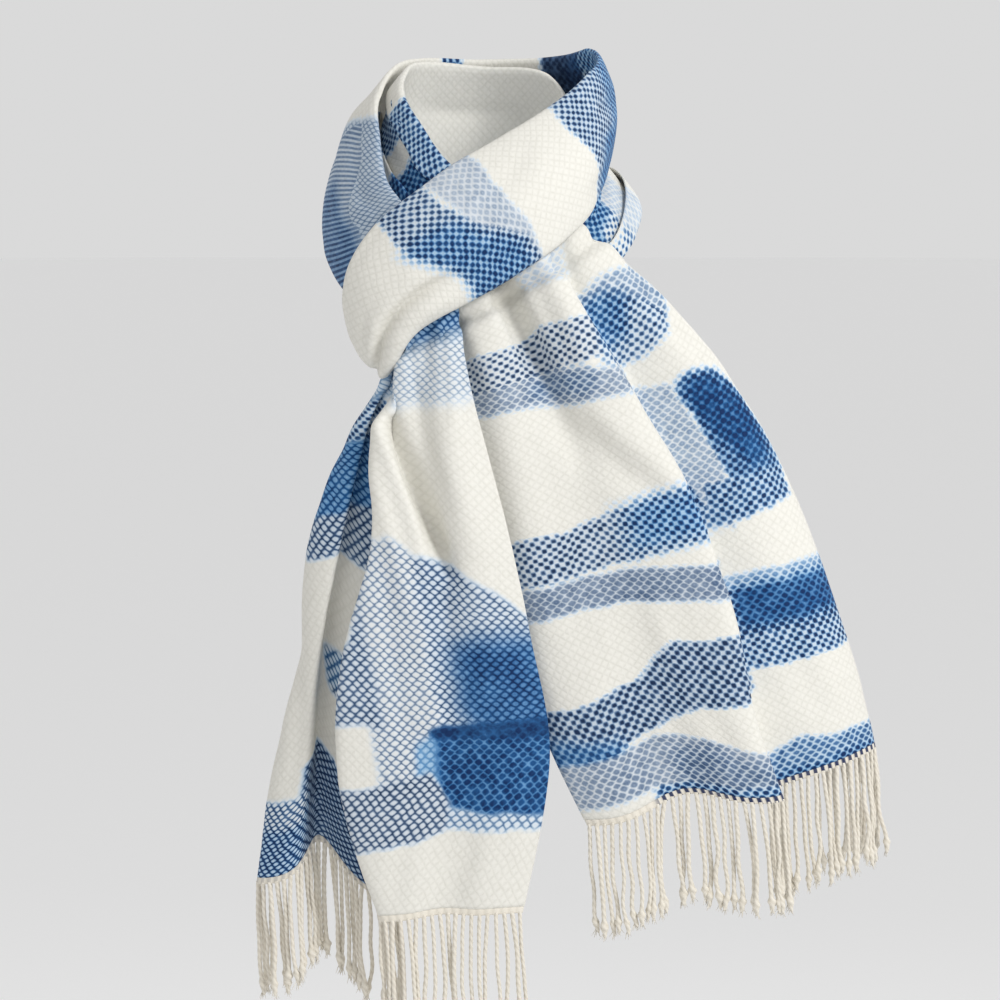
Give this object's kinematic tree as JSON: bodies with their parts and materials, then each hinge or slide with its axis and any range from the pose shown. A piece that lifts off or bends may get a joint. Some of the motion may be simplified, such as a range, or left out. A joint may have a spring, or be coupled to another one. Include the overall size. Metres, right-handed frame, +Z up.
{
  "type": "indigo-dyed scarf worn in a slip knot",
  "caption": "Long woven cotton scarf with indigo bands and knotted fringes, wound round an open neck and pulled through its own loop, both ends hanging in front.",
  "frame": {"origin": "on the axis of the neck opening, at the height where the front band crosses the throat", "axes": "+Z up along the neck, -Y to the front where the ends hang, +X to the viewer's right"},
  "size_m": [0.4364, 0.2699, 0.6858],
  "materials": {
    "dyed_cotton": "matt bird's-eye weave, undyed white with indigo bands",
    "fringe_cotton": "undyed twisted cotton cords with a small knot at each tip"
  },
  "bodies": {
    "root": {"tail_left": "dyed_cotton", "left_outer": "dyed_cotton", "back_outer": "dyed_cotton", "front_band": "dyed_cotton", "loop_under": "dyed_cotton", "back_inner": "dyed_cotton", "left_inner": "dyed_cotton", "tail_right": "dyed_cotton", "fringe_left": "fringe_cotton", "fringe_right": "fringe_cotton"}
  },
  "joints": []
}
